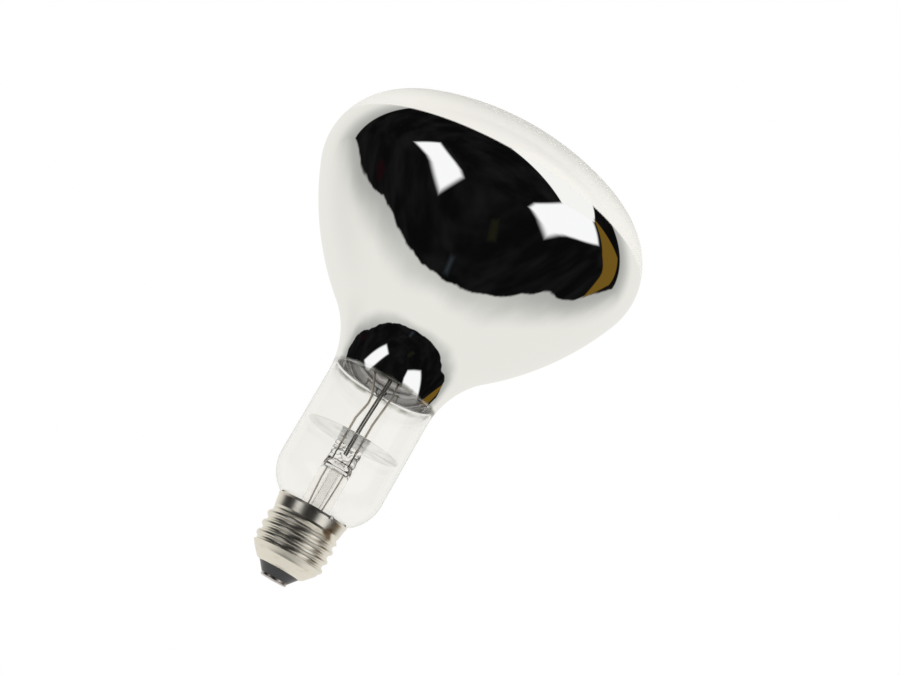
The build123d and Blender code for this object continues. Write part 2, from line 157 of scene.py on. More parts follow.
class Board:
    """A node tree that nodes are added to."""

    def __init__(self, tree: bpy.types.NodeTree) -> None:
        """Empty a tree.

        Args:
            tree: The node tree to work in.
        """
        tree.nodes.clear()
        self.tree = tree

    def node(self, kind: str, settings: dict[str, Any] | None = None,
             inputs: dict[Any, Any] | None = None) -> bpy.types.Node:
        """Add one node.

        Args:
            kind: The node's type.
            settings: Its properties, set first.
            inputs: The values or links of its sockets, by name or number.

        Returns:
            The new node.
        """
        made = self.tree.nodes.new(kind)
        for name, value in (settings or {}).items():
            setattr(made, name, value)
        for name, value in (inputs or {}).items():
            if isinstance(value, Signal):
                self.tree.links.new(value.socket, made.inputs[name])
            else:
                made.inputs[name].default_value = value
        return made

    def out(self, kind: str, output: Union[str, int] = 0, settings: dict[str, Any] | None = None,
            inputs: dict[Any, Any] | None = None) -> Signal:
        """Add one node and take an output of it.

        Args:
            kind: The node's type.
            output: The output's name or number.
            settings: As for node.
            inputs: As for node.

        Returns:
            That output.
        """
        return Signal(self, self.node(kind, settings, inputs).outputs[output])

    def maths(self, operation: str, first: Operand, second: Operand) -> Signal:
        """Add a Math node for one operation."""
        return self.out("ShaderNodeMath", 0, {"operation": operation}, {0: first, 1: second})

    def measure(self, operation: str, *vectors: Union[Signal, Place]) -> Signal:
        """Add a Vector Math node that gives one number, such as a distance."""
        inputs = dict(enumerate(vectors))
        return self.out("ShaderNodeVectorMath", "Value", {"operation": operation}, inputs)

    def place(self) -> Signal:
        """The point on the surface, in the part's frame."""
        return self.out("ShaderNodeTexCoord", "Object")

    def axes(self, vector: Signal) -> tuple[Signal, Signal, Signal]:
        """The three components of a vector."""
        made = self.node("ShaderNodeSeparateXYZ", None, {"Vector": vector})
        return tuple(Signal(self, made.outputs[axis]) for axis in "XYZ")

    def grain(self, pattern: Grain, vector: Signal) -> Signal:
        """Noise over a vector.

        Args:
            pattern: The kind of noise.
            vector: Where it is read.

        Returns:
            A value from 0 to 1.
        """
        if pattern.stretch:
            factors = {0: vector, 1: pattern.stretch}
            vector = self.out("ShaderNodeVectorMath", 0, {"operation": "MULTIPLY"}, factors)
        inputs = {"Vector": vector, "Scale": pattern.scale, "Detail": pattern.detail}
        spread = self.out("ShaderNodeTexNoise", "Fac", None, inputs)
        return spread.step(*pattern.span) if pattern.span else spread

    def blend(self, factor: Operand, first: Paint, second: Paint) -> Signal:
        """Mix two colours.

        Args:
            factor: 0 for the first and 1 for the second.
            first: A colour or a link.
            second: A colour or a link.

        Returns:
            The mixed colour.
        """
        ends = [end if isinstance(end, Signal) else (*end, 1.0) for end in (first, second)]
        return self.out("ShaderNodeMix", 2, {"data_type": "RGBA"}, {0: factor, 6: ends[0], 7: ends[1]})

    def bump(self, height: Signal, depth: float) -> Signal:
        """Surface normal raised by a height from 0 to 1, depth metres high."""
        inputs = {"Height": height, "Distance": depth, "Strength": 1.0}
        return self.out("ShaderNodeBump", 0, None, inputs)

    def shader(self, **values: Any) -> Signal:
        """Add a Principled shader.

        Args:
            values: The values or links of its sockets, named with underscores for spaces.

        Returns:
            The shader.
        """
        inputs = {}
        for name, value in values.items():
            plain_colour = isinstance(value, tuple) and len(value) == 3
            inputs[name.replace("_", " ")] = (*value, 1.0) if plain_colour else value
        return self.out("ShaderNodeBsdfPrincipled", 0, None, inputs)

    def layered(self, factor: Signal, under: Signal, over: Signal) -> Signal:
        """One shader where the factor is 0 and another where it is 1."""
        return self.out("ShaderNodeMixShader", 0, None, {0: factor, 1: under, 2: over})

    def finish(self, surface: Signal) -> None:
        """Join a shader to the material's output."""
        self.node("ShaderNodeOutputMaterial", None, {"Surface": surface})


class Finish:
    """A surface finish that makes its own material."""

    name: str

    def draw(self, board: Board) -> Signal:
        """Lay out the shader nodes and return the last one."""
        raise NotImplementedError

    def material(self) -> bpy.types.Material:
        """Make the material, once.

        Returns:
            The finish as a Blender material.
        """
        found = bpy.data.materials.get(self.name)
        if found is None:
            found = bpy.data.materials.new(self.name)
            found.use_nodes = True
            board = Board(found.node_tree)
            board.finish(self.draw(board))
        return found


@dataclass(frozen=True)
class FrameFinish(Finish):
    """The plain finish that the frame already holds under the name of a record's slot."""

    name: str

    def material(self) -> bpy.types.Material:
        """The frame's own material."""
        return bpy.data.materials[self.name]


@dataclass(frozen=True)
class BlownBulb(Finish):
    """The blown bulb: clear at the neck, silvered over the cone and satin at the front."""

    name: str = "blown_bulb"
    clear: Colour = (1.0, 0.995, 0.985)
    silver: Colour = (0.945, 0.945, 0.93)
    seam: Colour = (0.30, 0.29, 0.25)
    satin: Colour = (0.965, 0.95, 0.92)
    satin_shade: Colour = (0.945, 0.93, 0.895)
    haze: Colour = (0.99, 0.985, 0.97)
    letting: float = 0.4
    opening: float = 16.0 * MM
    coat_low: float = 76.0 * MM
    coat_high: float = 152.8 * MM
    feather: float = 1.6 * MM
    ragged: float = 2.4 * MM
    edge: float = 0.35 * MM
    index: float = 1.42
    ripple: float = 0.012 * MM
    mirror_roughness: float = 0.012
    haze_roughness: float = 0.28
    haze_spread: float = 0.04
    satin_roughness: float = 0.46
    satin_spread: float = 0.03
    glaze: float = 0.35
    glaze_roughness: float = 0.12
    tongues: Grain = Grain(170.0, 3.0, (1.0, 1.0, 0.35))
    waves: Grain = Grain(38.0, 1.0, (1.0, 1.0, 0.6))
    clouds: Grain = Grain(26.0, 2.0, span=(0.3, 0.7))
    smudges: Grain = Grain(110.0, 2.0, (1.0, 1.0, 0.5), (0.40, 0.60))

    def draw(self, board: Board) -> Signal:
        """Clear or silvered glass below, and satin glass above the coating's front edge.

        Args:
            board: The material's nodes.

        Returns:
            The shader.
        """
        spot = board.place()
        height = board.axes(spot)[2]
        low = height + (board.grain(self.tongues, spot) - 0.5) * self.ragged
        coated = low.step(self.coat_low - self.feather, self.coat_low + self.feather)
        front = height.step(self.coat_high - self.edge, self.coat_high + self.edge)
        opened = height.step(self.coat_high + self.edge, self.coat_high + self.opening)
        clouds = board.grain(self.clouds, spot)
        metal = coated * (1.0 - opened)
        silvered = board.blend(coated, self.clear, self.silver)
        silvered = board.blend(coated.hump() * board.grain(self.smudges, spot), silvered, self.seam)
        hazy = clouds * self.haze_spread + self.haze_roughness
        blown = board.shader(
            Base_Color=board.blend(opened, silvered, self.haze),
            Metallic=metal,
            Roughness=opened * hazy + metal * self.mirror_roughness,
            IOR=self.index,
            Transmission_Weight=1.0,
            Normal=board.bump(board.grain(self.waves, spot), self.ripple),
        )
        satin = board.shader(
            Base_Color=board.blend(clouds, self.satin_shade, self.satin),
            Roughness=clouds * self.satin_spread + self.satin_roughness,
            IOR=self.index,
            Coat_Weight=self.glaze,
            Coat_Roughness=self.glaze_roughness,
            Normal=board.bump(clouds, self.ripple),
        )
        return board.layered(front * (1.0 - opened * self.letting), blown, satin)


@dataclass(frozen=True)
class LampGlass(Finish):
    """Clear glass worked in a flame, with a ripple of its own depth."""

    name: str
    tint: Colour = (0.97, 0.97, 0.96)
    ripple: float = 0.05 * MM
    waves: Grain = Grain(260.0, 1.5)
    index: float = 1.52
    shade: float = 0.97
    roughness: float = 0.02

    def colour(self, board: Board, spot: Signal, waves: Signal) -> Signal:
        """The glass's colour, a little deeper in the waves."""
        return board.blend(waves, self.tint, tuple(self.shade * share for share in self.tint))

    def draw(self, board: Board) -> Signal:
        """Clear glass with a wavy face.

        Args:
            board: The material's nodes.

        Returns:
            The shader.
        """
        spot = board.place()
        waves = board.grain(self.waves, spot)
        return board.shader(
            Base_Color=self.colour(board, spot, waves),
            Roughness=waves * self.roughness,
            IOR=self.index,
            Transmission_Weight=1.0,
            Normal=board.bump(waves, self.ripple),
        )


@dataclass(frozen=True)
class PressedGlass(LampGlass):
    """Clear glass with thin dark lines painted in the press, painted shade standing in for the dark
    lines that refraction draws through it.
    """

    # The dark line colour, its pattern and its width are painted shade for refraction, not marks in the
    # glass.
    painted_refraction_dark: Colour = (0.16, 0.155, 0.14)
    refraction_line_pattern: Grain = Grain(190.0, 1.0, (0.8, 1.0, 1.2))
    refraction_line_width: float = 0.028
    press: Span = (43.8 * MM, 45.5 * MM)

    def colour(self, board: Board, spot: Signal, waves: Signal) -> Signal:
        """The glass's colour, with painted dark refraction lines in the press alone.

        Args:
            board: The material's nodes.
            spot: The point on the surface.
            waves: The waves, which leave this glass's colour as it is.

        Returns:
            The colour.
        """
        # Painted shade: thin dark lines along the pattern's middle level, standing in for refraction.
        away = abs(board.grain(self.refraction_line_pattern, spot) - 0.5)
        pinched = board.axes(spot)[2].step(*self.press)
        return board.blend((1.0 - away.step(0.0, self.refraction_line_width)) * pinched, self.tint, self.painted_refraction_dark)


@dataclass(frozen=True)
class DrawnWire(Finish):
    """Drawn wire with die marks along it and tarnish in patches."""

    name: str
    bright: Colour
    dark: Colour
    roughness: float
    edge: Colour = (0.22, 0.20, 0.17)
    mark_roughness: float = 0.16
    patch_roughness: float = 0.12
    groove: float = 0.012 * MM
    marks: Grain = Grain(2600.0, 2.0, (1.0, 1.0, 0.06))
    patches: Grain = Grain(240.0, 3.0, span=(0.38, 0.66))

    def draw(self, board: Board) -> Signal:
        """Metal with long marks and dark patches.

        Args:
            board: The material's nodes.

        Returns:
            The shader.
        """
        spot = board.place()
        lines = board.grain(self.marks, spot)
        patches = board.grain(self.patches, spot)
        return board.shader(
            Base_Color=board.blend(patches, self.bright, self.dark),
            Metallic=1.0,
            Roughness=lines * self.mark_roughness + (patches * self.patch_roughness + self.roughness),
            Specular_Tint=self.edge,
            Normal=board.bump(lines, self.groove),
        )


@dataclass(frozen=True)
class RolledNickel(Finish):
    """Plated sheet of the cap, rolled to its thread, with one heat stain beside the weld."""

    name: str = "rolled_nickel"
    plate: Colour = (0.88, 0.84, 0.75)
    worn: Colour = (0.78, 0.73, 0.63)
    wear: float = 0.6
    stain: Colour = (0.20, 0.115, 0.05)
    stain_depth: float = 0.9
    stain_place: Place = (8.6 * MM, -9.6 * MM, 21.8 * MM)
    stain_fray: float = 3.0 * MM
    stain_span: Span = (1.05 * MM, 3.3 * MM)
    roughness: float = 0.265
    mark_roughness: float = 0.04
    burnt_roughness: float = 0.15
    groove: float = 0.0014 * MM
    hoops: Grain = Grain(3600.0, 1.0, (0.02, 0.02, 1.0))
    scuffs: Grain = Grain(620.0, 4.0, (0.5, 0.5, 1.6), (0.52, 0.72))
    smoke: Grain = Grain(420.0, 3.0)

    def draw(self, board: Board) -> Signal:
        """Bright plate with fine hoops from the rolling, scuffs and the stain.

        Args:
            board: The material's nodes.

        Returns:
            The shader.
        """
        spot = board.place()
        hoops = board.grain(self.hoops, spot)
        scuffs = board.grain(self.scuffs, spot)
        away = board.measure("DISTANCE", spot, self.stain_place)
        smoke = board.grain(self.smoke, spot) - 0.5
        burnt = 1.0 - (away + smoke * self.stain_fray).step(*self.stain_span)
        metal = board.blend(scuffs * self.wear, self.plate, self.worn)
        smooth = burnt * self.burnt_roughness + self.roughness
        return board.shader(
            Base_Color=board.blend(burnt * self.stain_depth, metal, self.stain),
            Metallic=1.0,
            Roughness=hoops * self.mark_roughness + (scuffs * self.mark_roughness + smooth),
            Normal=board.bump(hoops, self.groove),
        )


@dataclass(frozen=True)
class SheetMetal(Finish):
    """Plain bright sheet, lightly rolled, with a painted grey reflection of the stem's press across its
    middle where a half width is given.
    """

    name: str
    bright: Colour
    dull: Colour
    roughness: float
    # The grey band across the middle is a painted reflection of the stem's press, not a mark of the
    # sheet.
    reflection_band_half: float = 0.0
    painted_reflection_grey: Colour = (0.20, 0.205, 0.21)
    grey_depth: float = 0.45
    grey_streaks: float = 0.6
    grey_fray: float = 1.2 * MM
    grey_edge: float = 0.3 * MM
    cloud_roughness: float = 0.08
    rolling_roughness: float = 0.06
    dent: float = 0.02 * MM
    clouds: Grain = Grain(190.0, 3.0, span=(0.35, 0.7))
    rolling: Grain = Grain(2400.0, 2.0, (0.05, 1.0, 1.0))
    fray: Grain = Grain(700.0, 2.0)
    dents: Grain = Grain(120.0, 1.0)

    def draw(self, board: Board) -> Signal:
        """Bright sheet with soft clouds and shallow waves, and a painted grey reflection band across its
        middle where asked.

        Args:
            board: The material's nodes.

        Returns:
            The shader.
        """
        spot = board.place()
        clouds = board.grain(self.clouds, spot)
        rolling = board.grain(self.rolling, spot)
        sheet = board.blend(clouds, self.bright, self.dull)
        # Painted reflection: a streaked grey band across the middle, standing in for the press mirrored
        # in the sheet.
        if self.reflection_band_half > 0:
            frayed = abs(board.axes(spot)[0]) + (board.grain(self.fray, spot) - 0.5) * self.grey_fray
            beyond_reflection = frayed.step(self.reflection_band_half - self.grey_edge, self.reflection_band_half + self.grey_edge)
            streaks = rolling * self.grey_streaks + self.grey_depth
            sheet = board.blend((1.0 - beyond_reflection) * streaks, sheet, self.painted_reflection_grey)
        smooth = rolling * self.rolling_roughness + self.roughness
        return board.shader(
            Base_Color=sheet,
            Metallic=1.0,
            Roughness=clouds * self.cloud_roughness + smooth,
            Normal=board.bump(board.grain(self.dents, spot), self.dent),
        )


@dataclass(frozen=True)
class CastFace(Finish):
    """A dull cast face: baked cement or tin solder."""

    name: str
    base: Colour
    fleck: Colour
    metallic: float
    roughness: float
    index: float = 1.5
    speck_roughness: float = 0.2
    patch_roughness: float = 0.1
    pit: float = 0.02 * MM
    specks: Grain = Grain(1400.0, 4.0)
    patches: Grain = Grain(280.0, 3.0, span=(0.4, 0.75))

    def draw(self, board: Board) -> Signal:
        """Speckled face with fine pits.

        Args:
            board: The material's nodes.

        Returns:
            The shader.
        """
        spot = board.place()
        specks = board.grain(self.specks, spot)
        patches = board.grain(self.patches, spot)
        return board.shader(
            Base_Color=board.blend(patches * specks, self.base, self.fleck),
            Metallic=self.metallic,
            Roughness=specks * self.speck_roughness + (patches * self.patch_roughness + self.roughness),
            IOR=self.index,
            Normal=board.bump(specks, self.pit),
        )


def dress(node: str, finish: Finish) -> None:
    """Give a CAD node its finish.

    Args:
        node: The node's name.
        finish: What its surface is made of.
    """
    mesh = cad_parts[node].data
    mesh.materials.clear()
    mesh.materials.append(finish.material())
    log.info("%s is dressed in %s", node, finish.name)


def add_piece(piece: bpy.types.Object, finish: Finish, replaced: str) -> None:
    """Seat a modelled piece on the bulb.

    Args:
        piece: The new object.
        finish: What its surface is made of.
        replaced: The CAD node that it stands for.
    """
    bpy.context.scene.collection.objects.link(piece)
    piece.data.materials.append(finish.material())
    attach(piece, BODY)
    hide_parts(replaced)
    log.info("%s stands for %s, in %s", piece.name, replaced, finish.name)


def smooth_piece(name: str, shape: bmesh.types.BMesh) -> bpy.types.Object:
    """Close a modelled shape.

    Args:
        name: The new object's name.
        shape: Its faces, which are freed.

    Returns:
        The new object, smooth shaded.
    """
    mesh = bpy.data.meshes.new(name)
    shape.to_mesh(mesh)
    shape.free()
    mesh.shade_smooth()
    return bpy.data.objects.new(name, mesh)


def round_ring(shape: bmesh.types.BMesh, radius: float, height: float, turns: list[float]) -> Ring:
    """Add one level round ring of vertices, in the directions given."""
    return [shape.verts.new((radius * math.cos(a), radius * math.sin(a), height)) for a in turns]


def turned(name: str, outline: Outline, segments: int, lined: int = 0) -> bpy.types.Object:
    """Turn a closed outline about the axis.

    Args:
        name: The new object's name.
        outline: Radii and heights in order round the section, from one end on the axis or off it.
        segments: Faces round the axis.
        lined: The first point of the outline whose faces take the second material, if any.

    Returns:
        The new object, smooth shaded.
    """
    shape = bmesh.new()
    rings = []
    for radius, height in outline:
        count = segments if radius > 0 else 1
        turns = [2 * math.pi * (index + 0.5) / segments for index in range(count)]
        rings.append(round_ring(shape, radius, height, turns))
    for place, (low, high) in enumerate(zip(rings, rings[1:] + rings[:1])):
        if len(low) == len(high) == 1:
            continue
        for index in range(segments):
            after = (index + 1) % segments
            corners = [low[index % len(low)], low[after % len(low)]]
            corners += [high[after % len(high)], high[index % len(high)]]
            made = shape.faces.new(dict.fromkeys(corners))
            made.material_index = int(0 < lined <= place)
    bmesh.ops.recalc_face_normals(shape, faces=shape.faces)
    return smooth_piece(name, shape)


@dataclass
class Bulb:
    """The blown bulb and the mirror inside it, turned from tangent arcs."""

    wall: float = 1.0 * MM
    neck_radius: float = 19.8 * MM
    neck_start: float = 40.0 * MM
    neck_taper_radius: float = 15.0 * MM
    seal_radius: float = 10.9 * MM
    seal_height: float = 17.6 * MM
    seal_bend_radius: float = 1.5 * MM
    throat_radius: float = 34.0 * MM
    cone_radius: float = 112.0 * MM
    cone_end_slope: float = math.radians(22.5)
    shoulder_radius: float = 23.5 * MM
    widest_radius: float = 63.0 * MM
    widest_height: float = 147.8 * MM
    dome_radius: float = 102.0 * MM
    film_low: float = 75.9 * MM
    film_high: float = 152.8 * MM
    film_wall: float = 0.18 * MM
    film_gap: float = 0.02 * MM
    stride: float = 1.5 * MM
    bend_step: float = math.radians(5.0)
    segments: int = 176
    glass: BlownBulb = BlownBulb()
    lining: LampGlass = LampGlass("bulb_lining", (1.0, 0.995, 0.985), 0.01 * MM, Grain(60.0, 1.5), 1.42)
    film: FrameFinish = FrameFinish("mirror_film")

    def arc(self, centre: tuple[float, float], radius: float, start: float, end: float) -> Outline:
        """Points of one arc of the outline, without its last.

        Args:
            centre: Its centre's distance from the axis and height.
            radius: Its radius.
            start: The angle that it starts at.
            end: The angle that it ends at.

        Returns:
            Radii and heights.
        """
        count = max(round(abs(end - start) / min(self.stride / radius, self.bend_step)), 2)
        angles = [start + (end - start) * index / count for index in range(count)]
        return [(centre[0] + radius * math.cos(a), centre[1] + radius * math.sin(a)) for a in angles]

    def run(self, radius: float, low: float, high: float) -> Outline:
        """Points of one upright run of the outline, without its last."""
        count = max(round((high - low) / self.stride), 1)
        return [(radius, low + (high - low) * index / count) for index in range(count)]

    def outline(self, inset: float) -> Outline:
        """The bulb's half outline from the seal to the top.

        Args:
            inset: Depth below the outer face.

        Returns:
            Radii and heights.
        """
        taper = (self.neck_radius - self.neck_taper_radius, self.neck_start)
        joined = self.neck_taper_radius + self.seal_bend_radius
        bend = self.seal_radius + self.seal_bend_radius
        seal_slope = math.acos((bend - taper[0]) / joined)
        seal = (bend, self.neck_start - joined * math.sin(seal_slope))
        shoulder = (self.widest_radius - self.shoulder_radius, self.widest_height)
        slope = self.cone_end_slope
        past = self.cone_radius - self.shoulder_radius
        cone = (shoulder[0] - past * math.cos(slope), shoulder[1] + past * math.sin(slope))
        reach = self.cone_radius + self.throat_radius
        throat_slope = math.acos((self.neck_radius + self.throat_radius - cone[0]) / reach)
        throat = (self.neck_radius + self.throat_radius, cone[1] - reach * math.sin(throat_slope))
        rise = self.dome_radius - self.shoulder_radius
        dome_angle = math.acos(shoulder[0] / rise)
        dome = (0.0, self.widest_height - rise * math.sin(dome_angle))
        inward = math.pi
        upward = math.pi / 2
        points = self.run(self.seal_radius - inset, self.seal_height, seal[1])
        points += self.arc(seal, self.seal_bend_radius + inset, inward, inward - seal_slope)
        points += self.arc(taper, self.neck_taper_radius - inset, -seal_slope, 0)
        points += self.run(self.neck_radius - inset, self.neck_start, throat[1])
        points += self.arc(throat, self.throat_radius + inset, inward, inward - throat_slope)
        points += self.arc(cone, self.cone_radius - inset, -throat_slope, -slope)
        points += self.arc(shoulder, self.shoulder_radius - inset, -slope, dome_angle)
        points += self.arc(dome, self.dome_radius - inset, dome_angle, upward)
        return points + [(0.0, dome[1] + self.dome_radius - inset)]

    def filmed(self, inset: float) -> Outline:
        """The part of an inset outline that the film covers."""
        return [point for point in self.outline(inset) if self.film_low <= point[1] <= self.film_high]

    def build(self) -> None:
        """Turn the glass and the film and seat them for their plain solids."""
        outer = self.outline(0.0)
        inner = self.outline(self.wall)
        blown = turned("blown_glass", outer + inner[::-1], self.segments, len(outer))
        add_piece(blown, self.glass, "glass_envelope")
        blown.data.materials.append(self.lining.material())
        near = self.filmed(self.wall + self.film_gap)
        far = self.filmed(self.wall + self.film_gap + self.film_wall)
        film = turned("evaporated_film", near + far[::-1], self.segments)
        add_piece(film, self.film, "mirror_coating")


@dataclass
class Filament:
    """The coiled tungsten wire, wound along the bent line that its clamps and hooks hold."""

    height: float = 99.0 * MM
    reach: float = 9.5 * MM
    front: float = 8.0 * MM
    hook: float = 4.0 * MM
    tail: float = 1.1 * MM
    coil_radius: float = 0.85 * MM
    wire_radius: float = 0.09 * MM
    pitch: float = 0.30 * MM
    corner: float = 1.6 * MM
    steps: int = 12
    tungsten: FrameFinish = FrameFinish("tungsten")

    def line(self) -> list[Vector]:
        """Find the line that the coil follows.

        Returns:
            Its corners, from clamp to clamp.
        """
        slant = Vector((self.reach - self.hook, self.front, 0)).normalized() * self.tail
        right = Vector((self.reach, 0, self.height))
        hook = Vector((self.hook, -self.front, self.height))
        half = [hook, right + slant]
        mirrored = [Vector((-point.x, point.y, point.z)) for point in reversed(half)]
        return mirrored + half

    def walk(self) -> list[tuple[Vector, Vector]]:
        """Walk along the line, a step of a turn at a time.

        Returns:
            Places, each with the line's direction there, eased at the corners.
        """
        points = self.line()
        stride = self.pitch / self.steps
        spots = []
        for start, end in zip(points, points[1:]):
            run = end - start
            count = round(run.length / stride)
            spots += [start + run * (index / count) for index in range(count)]
        spots.append(points[-1])
        reach = round(self.corner / stride)
        places = []
        for index, spot in enumerate(spots):
            low = max(index - reach, 0)
            high = min(index + reach, len(spots) - 1)
            places.append((spot, (spots[high] - spots[low]).normalized()))
        return places

    def build(self) -> None:
        """Wind the coil and seat it for the plain rod."""
        curve = bpy.data.curves.new("filament_coil", "CURVE")
        curve.dimensions = "3D"
        curve.bevel_depth = self.wire_radius
        curve.bevel_resolution = 1
        places = self.walk()
        spline = curve.splines.new("POLY")
        spline.points.add(len(places) - 1)
        wound = self.coil_radius - self.wire_radius
        upright = Vector((0, 0, 1))
        for index, (spot, along) in enumerate(places):
            angle = 2 * math.pi * index / self.steps
            aside = along.cross(upright).normalized()
            offset = aside * math.cos(angle) + upright * math.sin(angle)
            spline.points[index].co = (*(spot + offset * wound), 1.0)
        coil = bpy.data.objects.new("filament_coil", curve)
        add_piece(coil, self.tungsten, "filament")


@dataclass
class Stem:
    """The flared tube and its press, pinched flat while soft, so that its faces are wavy."""

    tube_radius: float = 5.4 * MM
    tube_wall: float = 1.0 * MM
    tube_top: float = 43.5 * MM
    flare_rim_radius: float = 9.9 * MM
    flare_low: float = 17.7 * MM
    flare_rim_top: float = 18.9 * MM
    flare_start: float = 27.5 * MM
    flare_sweep: float = 0.75
    press_start: float = 46.6 * MM
    press_top: float = 52.5 * MM
    press_width: float = 11.0 * MM
    press_thickness: float = 3.6 * MM
    top_round: float = 0.7 * MM
    squareness: float = 4.0
    segments: int = 112
    levels: int = 56
    bore_levels: int = 30
    swirl: float = 0.75 * MM
    swirl_scale: float = 420.0
    dimple: float = 0.30 * MM
    dimple_scale: float = 1000.0
    sunk: float = 0.6
    glass: PressedGlass = PressedGlass("press_glass", (0.99, 0.985, 0.975), 0.02 * MM)

    def flare(self, radius: float, height: float) -> float:
        """Open a tube towards its rim, along part of an ellipse.

        Args:
            radius: The tube's radius above the flare.
            height: Where it is asked for.

        Returns:
            The radius there.
        """
        share = min(max((self.flare_start - height) / (self.flare_start - self.flare_rim_top), 0.0), 1.0)
        opened = 1 - math.sqrt(1 - self.flare_sweep * share**2)
        whole = 1 - math.sqrt(1 - self.flare_sweep)
        return radius + (self.flare_rim_radius - self.tube_radius) * opened / whole

    def angles(self) -> list[float]:
        """The directions of a ring's corners."""
        return [2 * math.pi * index / self.segments for index in range(self.segments)]

    def ring(self, shape: bmesh.types.BMesh, height: float) -> Ring:
        """One ring of the outer face: round on the tube, flat and wavy on the press.

        Args:
            shape: The mesh being built.
            height: The ring's height.

        Returns:
            The ring's vertices.
        """
        radius = self.flare(self.tube_radius, height)
        share = min(max((height - self.tube_top) / (self.press_start - self.tube_top), 0.0), 1.0)
        flat = share * share * (3 - 2 * share)
        power = 2 + (self.squareness - 2) * flat
        inward = max(self.top_round - (self.press_top - height), 0.0)
        cut = self.top_round - math.sqrt(max(self.top_round**2 - inward**2, 0.0))
        half_width = radius + (self.press_width / 2 - radius) * flat - cut
        half_depth = radius + (self.press_thickness / 2 - radius) * flat - cut
        ring = []
        for angle in self.angles():
            x, y = math.cos(angle), math.sin(angle)
            reach = (abs(x) ** power + abs(y) ** power) ** (-1 / power)
            spot = Vector((x * reach * half_width, y * reach * half_depth, height))
            swirl = noise.noise(spot * self.swirl_scale) - self.sunk
            dimple = noise.noise(spot * self.dimple_scale) - self.sunk
            sink = flat * (swirl * self.swirl + dimple * self.dimple)
            outward = Vector((x / half_width, y / half_depth, 0)).normalized()
            ring.append(shape.verts.new(spot + outward * sink))
        return ring

    def bore_ring(self, shape: bmesh.types.BMesh, height: float) -> Ring:
        """One round ring of the bore."""
        radius = self.flare(self.tube_radius - self.tube_wall, height)
        return round_ring(shape, radius, height, self.angles())

    def bridge(self, shape: bmesh.types.BMesh, low: Ring, high: Ring) -> None:
        """Join two rings with faces.

        Args:
            shape: The mesh being built.
            low: One ring.
            high: The next.
        """
        for index in range(self.segments):
            after = (index + 1) % self.segments
            shape.faces.new((low[index], low[after], high[after], high[index]))

    def build(self) -> None:
        """Shape the stem and seat it for its plain solid."""
        shape = bmesh.new()
        span = self.press_top - self.flare_low
        heights = [self.flare_low + span * index / (self.levels * 2) for index in range(self.levels)]
        middle = heights[-1]
        rise = self.press_top - middle
        heights += [middle + rise * (index + 1) / self.levels for index in range(self.levels)]
        outer = [self.ring(shape, height) for height in heights]
        bore_top = self.tube_top - self.tube_wall
        drop = (self.flare_low - bore_top) / self.bore_levels
        bore = [self.bore_ring(shape, bore_top + drop * index) for index in range(self.bore_levels + 1)]
        rings = bore + outer
        for low, high in zip(rings, rings[1:]):
            self.bridge(shape, low, high)
        shape.faces.new(bore[0])
        shape.faces.new(outer[-1])
        bmesh.ops.recalc_face_normals(shape, faces=shape.faces)
        add_piece(smooth_piece("pressed_stem", shape), self.glass, "glass_stem")


@dataclass
class Mount:
    """The stem with its wires, the heat shield and the filament."""

    stem: Stem = field(default_factory=Stem)
    tube: LampGlass = LampGlass("exhaust_glass", ripple=0.01 * MM)
    # The shield's grey middle band is a painted reflection of the stem's press.
    shield: SheetMetal = SheetMetal(
        "shield_sheet", (0.90, 0.90, 0.89), (0.80, 0.80, 0.79), 0.16, reflection_band_half=5.3 * MM
    )
    inner: FrameFinish = FrameFinish("inner_wire")
    support: DrawnWire = DrawnWire("support_wire", (0.15, 0.14, 0.11), (0.06, 0.055, 0.045), 0.32)
    outer: FrameFinish = FrameFinish("outer_wire")
    copper: DrawnWire = DrawnWire("seal_wire", (0.06, 0.032, 0.02), (0.025, 0.014, 0.01), 0.32)
    filament: Filament = field(default_factory=Filament)

    def build(self) -> None:
        """Dress the mount's pieces and wind its filament."""
        self.stem.build()
        dress("exhaust_tube", self.tube)
        dress("heat_shield", self.shield)
        for side in ("left", "right"):
            dress(f"inner_lead_{side}", self.inner)
            dress(f"support_wire_{side}", self.support)
            dress(f"seal_wire_{side}", self.copper)
        for end in ("centre", "side"):
            dress(f"outer_lead_{end}", self.outer)
        self.filament.build()


